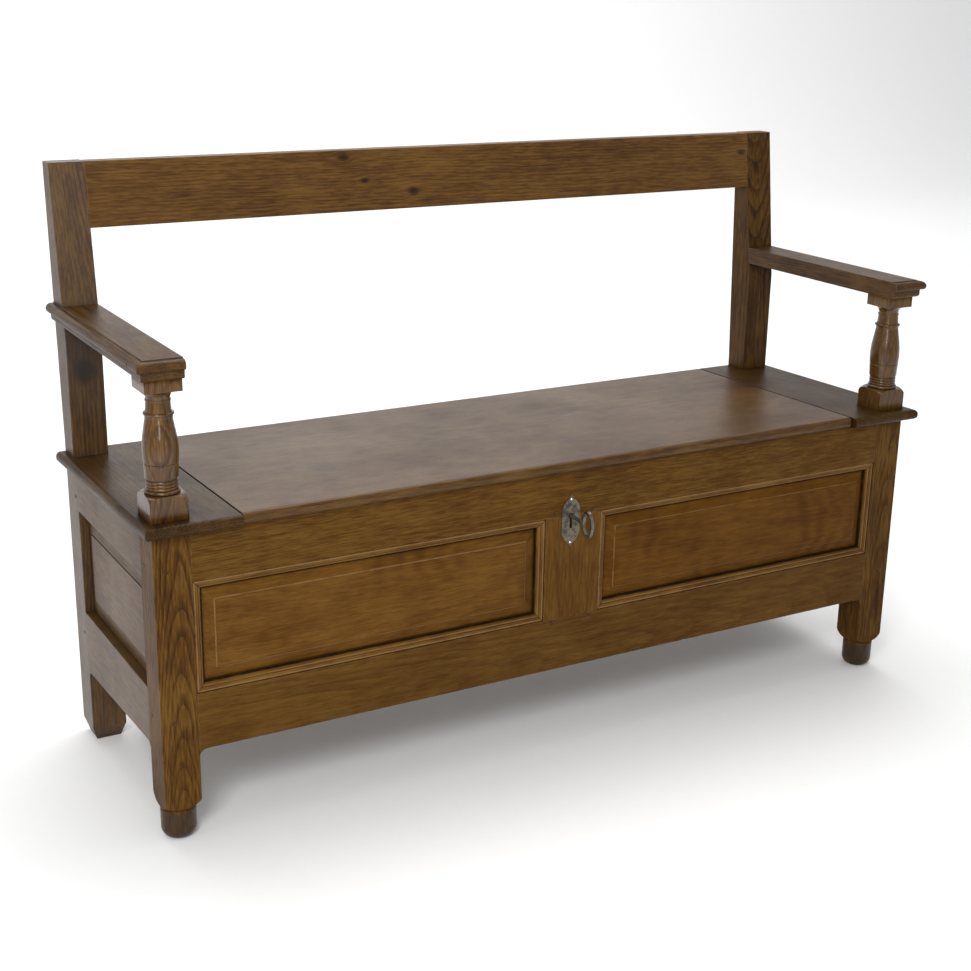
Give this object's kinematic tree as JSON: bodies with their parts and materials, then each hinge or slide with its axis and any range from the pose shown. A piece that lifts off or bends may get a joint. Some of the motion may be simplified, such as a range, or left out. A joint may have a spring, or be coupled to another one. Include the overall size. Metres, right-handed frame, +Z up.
{
  "type": "settle bench",
  "caption": "Joined oak box settle with a hinged seat lid over a chest, raised panels, turned arm supports, an open back with a crest rail, and a lock with a key.",
  "frame": {"origin": "centre of the bounding box's bottom face, on the floor", "axes": "+X along the bench to the sitter's left as seen from the front right, +Y towards the back, +Z up"},
  "size_m": [1.444, 0.524, 0.965],
  "materials": {
    "oak_posts": "old oak, wax polished",
    "oak_rails": "old oak, wax polished",
    "oak_panels": "old oak, wax polished",
    "oak_seat": "old oak, wax polished",
    "oak_arms": "old oak, wax polished",
    "oak_crest": "old oak, wax polished",
    "oak_back": "old oak, dry and unpolished",
    "oak_inside": "old oak, dry and unpolished",
    "oak_pegs": "old oak, wax polished",
    "plate_metal": "worn, pale patina",
    "iron": "dark, hand forged"
  },
  "bodies": {
    "bench": {"front_post_left": "oak_posts", "front_post_right": "oak_posts", "rear_post_left": "oak_posts", "rear_post_right": "oak_posts", "front_top_rail": "oak_rails", "front_bottom_rail": "oak_rails", "front_muntin": "oak_rails", "end_top_rail_left": "oak_rails", "end_top_rail_right": "oak_rails", "end_bottom_rail_left": "oak_rails", "end_bottom_rail_right": "oak_rails", "front_panel_left": "oak_panels", "front_panel_right": "oak_panels", "end_panel_left": "oak_panels", "end_panel_right": "oak_panels", "front_moulding_left": "oak_panels", "front_moulding_right": "oak_panels", "seat_end_board_left": "oak_seat", "seat_end_board_right": "oak_seat", "arm_left": "oak_arms", "arm_right": "oak_arms", "crest_rail": "oak_crest", "back_top_rail": "oak_back", "back_bottom_rail": "oak_back", "back_muntin": "oak_back", "back_panel_left": "oak_back", "back_panel_right": "oak_back", "floor_board_front": "oak_inside", "floor_board_middle": "oak_inside", "floor_board_back": "oak_inside", "floor_bearer_left": "oak_inside", "floor_bearer_middle": "oak_inside", "floor_bearer_right": "oak_inside", "joint_pegs": "oak_pegs", "escutcheon": "plate_metal", "escutcheon_nails": "plate_metal", "lock_case": "iron", "hinge_fixed_leaf_left": "iron", "hinge_fixed_leaf_right": "iron", "hinge_pin_left": "iron", "hinge_pin_right": "iron"},
    "lid": {"seat_lid": "oak_seat", "lid_staple": "iron", "lid_batten_left": "oak_inside", "lid_batten_right": "oak_inside", "hinge_lid_leaf_left": "iron", "hinge_lid_leaf_right": "iron"},
    "key": {"key": "plate_metal"},
    "bolt": {"lock_bolt": "iron"}
  },
  "joints": [
    {"name": "lid_hinge", "type": "hinge", "parent": "bench", "child": "lid", "pos_m": [0, 0.2468, 0.483], "axis": [-1, 0, 0], "range_deg": [0, 81]},
    {"name": "key_turn", "type": "hinge", "parent": "bench", "child": "key", "pos_m": [-0.006, -0.196, 0.414], "axis": [0, -1, 0], "range_deg": [0, 90]},
    {"name": "bolt_slide", "type": "slide", "parent": "bench", "child": "bolt", "axis": [1, 0, 0], "range_m": [0, 0.014]}
  ],
  "couplings": [
    {"joint": "bolt_slide", "follows": "key_turn", "m_per_rad": 0.0089}
  ]
}
